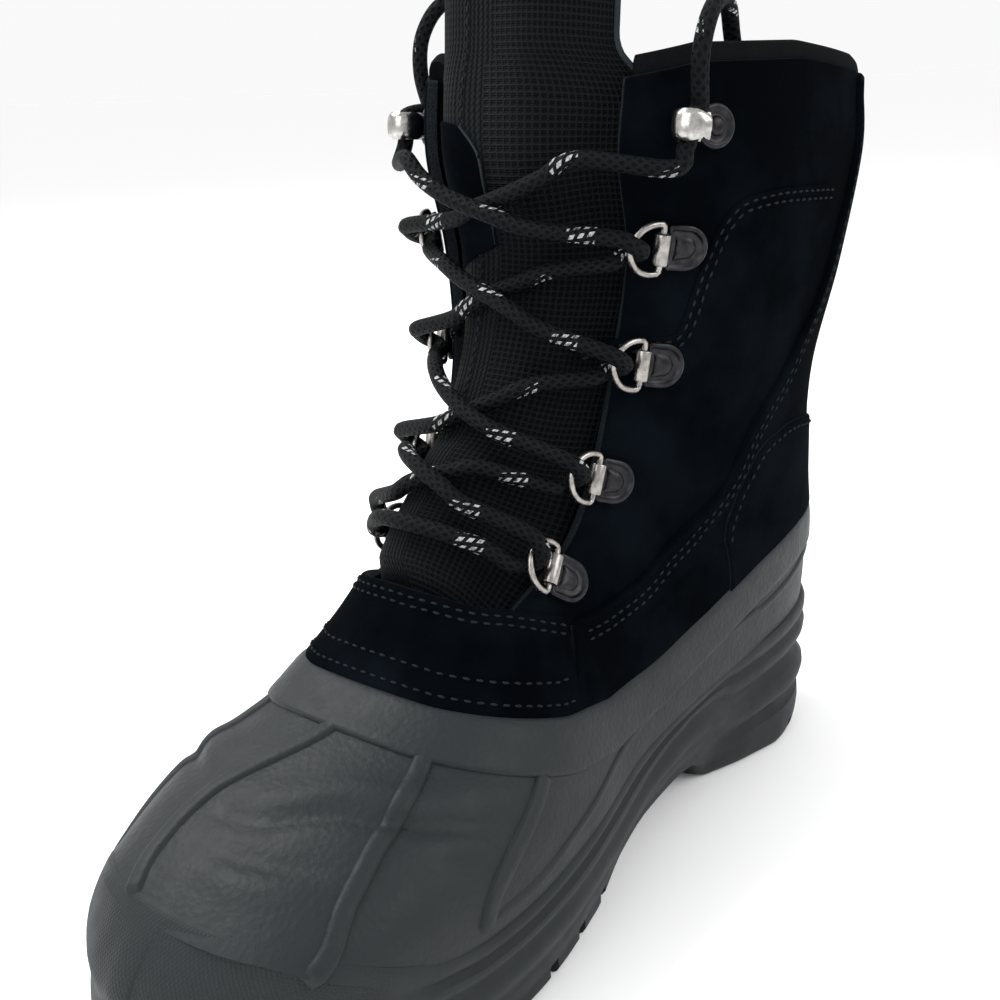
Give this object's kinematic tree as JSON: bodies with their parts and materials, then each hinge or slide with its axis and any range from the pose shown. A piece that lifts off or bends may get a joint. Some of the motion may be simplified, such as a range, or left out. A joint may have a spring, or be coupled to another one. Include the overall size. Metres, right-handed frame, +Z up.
{
  "type": "snow boot",
  "caption": "Tall lace-up snow boot for the left foot: an insulated suede shaft on a moulded rubber shell with a lugged sole, speed-laced through hinged D-rings and top hooks",
  "frame": {"origin": "on the floor, under the middle of the boot's length and width, its free lace ends left out", "axes": "+X to the toe, +Y to the wearer's left, +Z up; the sole stands on Z = 0"},
  "size_m": [0.306, 0.1184, 0.28],
  "materials": {
    "rubber": "matte dark grey, fine pebble grain",
    "suede": "napped, near black",
    "felt": "pressed felt",
    "tongue_cloth": "spacer mesh and webbing",
    "nickel": "nickel plated, gunmetal tone",
    "lace": "round braid with pale flecks",
    "aglet": "moulded tip"
  },
  "bodies": {
    "root": {"outsole": "rubber", "rubber_shell": "rubber", "upper": "suede", "insole": "felt", "tongue": "tongue_cloth", "plate_ring_1_left": "nickel", "plate_ring_2_left": "nickel", "plate_ring_3_left": "nickel", "plate_ring_4_left": "nickel", "plate_ring_1_right": "nickel", "plate_ring_2_right": "nickel", "plate_ring_3_right": "nickel", "plate_ring_4_right": "nickel", "ring_1_left": "nickel", "ring_2_left": "nickel", "ring_3_left": "nickel", "ring_4_left": "nickel", "ring_1_right": "nickel", "ring_2_right": "nickel", "ring_3_right": "nickel", "ring_4_right": "nickel", "lace_hook_left": "nickel", "lace_hook_right": "nickel", "lace_crossings": "lace", "lace_end_left": "lace", "aglet_left": "aglet", "lace_end_right": "lace", "aglet_right": "aglet"}
  },
  "joints": []
}
